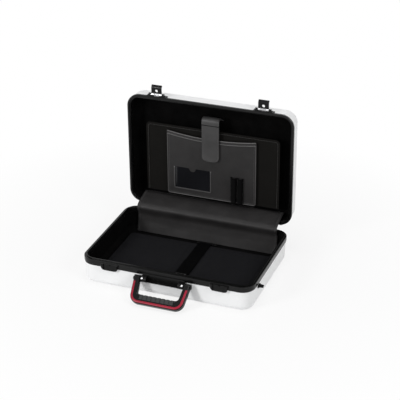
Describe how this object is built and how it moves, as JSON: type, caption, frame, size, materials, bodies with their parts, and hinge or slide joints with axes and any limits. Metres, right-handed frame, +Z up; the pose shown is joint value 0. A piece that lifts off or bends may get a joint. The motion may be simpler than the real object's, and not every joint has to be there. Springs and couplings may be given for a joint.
{
  "type": "briefcase",
  "caption": "Hard-shell briefcase with a hinged lid, two hasp latches, a swinging handle, a padded base with a laptop strap and a lid organizer with pockets",
  "frame": {"origin": "middle of the underside of the base, on the table", "axes": "+X along the case's width, to the right seen from the handle; -Y towards the handle; +Z up"},
  "size_m": [0.493, 0.4521, 0.4359],
  "materials": {
    "shell": "fine-grained moulded shell, satin gloss, pale silver white",
    "rim": "black extruded rim, soft sheen",
    "lining": "black moulded lining",
    "padding": "black cloth over foam",
    "webbing": "black woven webbing",
    "fittings": "black moulded fitting, glossy",
    "steel": "plain steel",
    "rubber": "dark grey soft rubber",
    "leatherette": "charcoal leatherette, fine grain",
    "gusset_cloth": "black folding cloth",
    "pocket_vinyl": "black smooth vinyl",
    "inlay": "crimson moulded inlay"
  },
  "bodies": {
    "base": {"base_shell": "shell", "base_rim": "rim", "base_liner": "lining", "floor_pad": "padding", "laptop_strap_long": "webbing", "laptop_strap_short": "webbing", "strap_anchor_front": "fittings", "strap_anchor_rear": "fittings", "latch_receiver_left": "fittings", "latch_receiver_right": "fittings", "handle_bracket": "fittings", "handle_pin_left": "steel", "handle_pin_right": "steel", "hinge_base_leaf_left": "steel", "hinge_base_leaf_right": "steel", "hinge_pin_left": "steel", "hinge_pin_right": "steel", "strap_lug_left": "fittings", "strap_lug_right": "fittings", "rear_feet_base": "rubber", "hinge_cover": "leatherette"},
    "lid": {"lid_shell": "shell", "lid_rim": "rim", "lid_liner": "lining", "latch_mount_left": "fittings", "latch_mount_right": "fittings", "latch_pin_left": "steel", "latch_pin_right": "steel", "hinge_lid_leaf_left": "steel", "hinge_lid_leaf_right": "steel", "rear_feet_lid": "rubber", "organizer_board": "leatherette", "organizer_gusset_left": "gusset_cloth", "organizer_gusset_right": "gusset_cloth", "organizer_floor": "gusset_cloth", "pocket_panel": "leatherette", "pocket_gusset": "gusset_cloth", "card_pocket": "pocket_vinyl", "pen_sleeves": "pocket_vinyl", "tab_anchor": "fittings", "fastener_loop_pad": "webbing"},
    "latch_left": {"latch_hasp_left": "fittings"},
    "latch_right": {"latch_hasp_right": "fittings"},
    "handle": {"handle_frame": "fittings", "handle_inlay": "inlay", "handle_grip": "rubber"},
    "closing_tab": {"pocket_tab": "leatherette", "fastener_hook_pad": "webbing"}
  },
  "joints": [
    {"name": "lid_hinge", "type": "hinge", "parent": "base", "child": "lid", "pos_m": [0, 0.17, 0.073], "axis": [-1, 0, 0], "range_deg": [-90, 0], "deforming": ["hinge_cover"]},
    {"name": "latch_left_swing", "type": "hinge", "parent": "lid", "child": "latch_left", "pos_m": [-0.15, 0.175, 0.4095], "axis": [1, 0, 0], "range_deg": [0, 90]},
    {"name": "latch_right_swing", "type": "hinge", "parent": "lid", "child": "latch_right", "pos_m": [0.15, 0.175, 0.4095], "axis": [1, 0, 0], "range_deg": [0, 90]},
    {"name": "handle_swing", "type": "hinge", "parent": "base", "child": "handle", "pos_m": [0, -0.171, 0.051], "axis": [-1, 0, 0], "range_deg": [0, 116]},
    {"name": "pocket_tab_swing", "type": "hinge", "parent": "lid", "child": "closing_tab", "pos_m": [0, 0.218, 0.342], "axis": [-1, 0, 0], "range_deg": [0, 60]}
  ]
}
